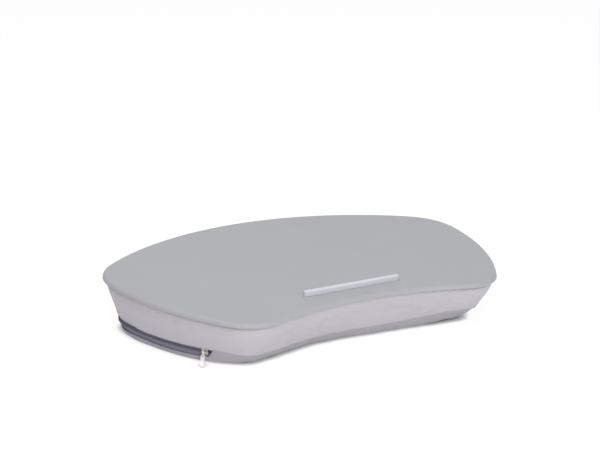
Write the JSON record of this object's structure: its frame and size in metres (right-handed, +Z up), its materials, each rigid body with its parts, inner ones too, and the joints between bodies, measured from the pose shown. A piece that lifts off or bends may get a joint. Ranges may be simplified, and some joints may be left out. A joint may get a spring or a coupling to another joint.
{
  "type": "cushioned lap desk",
  "caption": "Kidney-shaped lap desk: a moulded board with a front stop bar on a wedge foam cushion in a zipped fabric cover.",
  "frame": {"origin": "on the surface the desk stands on, under the middle of its bounding box", "axes": "+X along the width, to the right of a person using it; +Y to the rear, away from that person; +Z up"},
  "size_m": [0.5222, 0.351, 0.078],
  "materials": {
    "board": "fine-grained satin moulded plastic",
    "bar": "smooth satin plastic, lighter than the board",
    "cover": "matt brushed microfibre",
    "base": "matt brushed microfibre, the same cloth as the sides",
    "foam": "open-cell foam",
    "hook": "hook tape",
    "loop": "loop tape",
    "tape": "woven zip tape",
    "teeth": "nylon zip teeth",
    "nickel": "nickel plate"
  },
  "bodies": {
    "desk": {"top_board": "board", "stop_bar": "bar", "hook_strip_front": "hook", "hook_strip_rear": "hook", "loop_strip_front": "loop", "loop_strip_rear": "loop", "cover_top_panel": "cover", "cover_boxing": "cover", "cover_bottom_panel": "base", "foam_core": "foam", "zip_tape_upper": "tape", "zip_tape_lower": "tape", "zip_coil_upper": "teeth", "zip_coil_lower": "teeth", "zip_top_stop_upper": "nickel", "zip_top_stop_lower": "nickel", "zip_bottom_stop": "nickel"},
    "slider": {"zip_slider": "nickel"},
    "puller": {"zip_puller": "nickel"}
  },
  "joints": [
    {"name": "zip_travel", "type": "hinge", "parent": "desk", "child": "slider", "pos_m": [0.08932, 0.05136, 0.012], "axis": [0, 0, -1], "range_deg": [0, 24.2], "deforming": ["zip_coil_upper", "zip_coil_lower"]},
    {"name": "pull_swing", "type": "hinge", "parent": "slider", "child": "puller", "pos_m": [-0.20579, -0.10687, 0.012], "axis": [0.4726, -0.8813, 0], "range_deg": [-75, 60]}
  ]
}
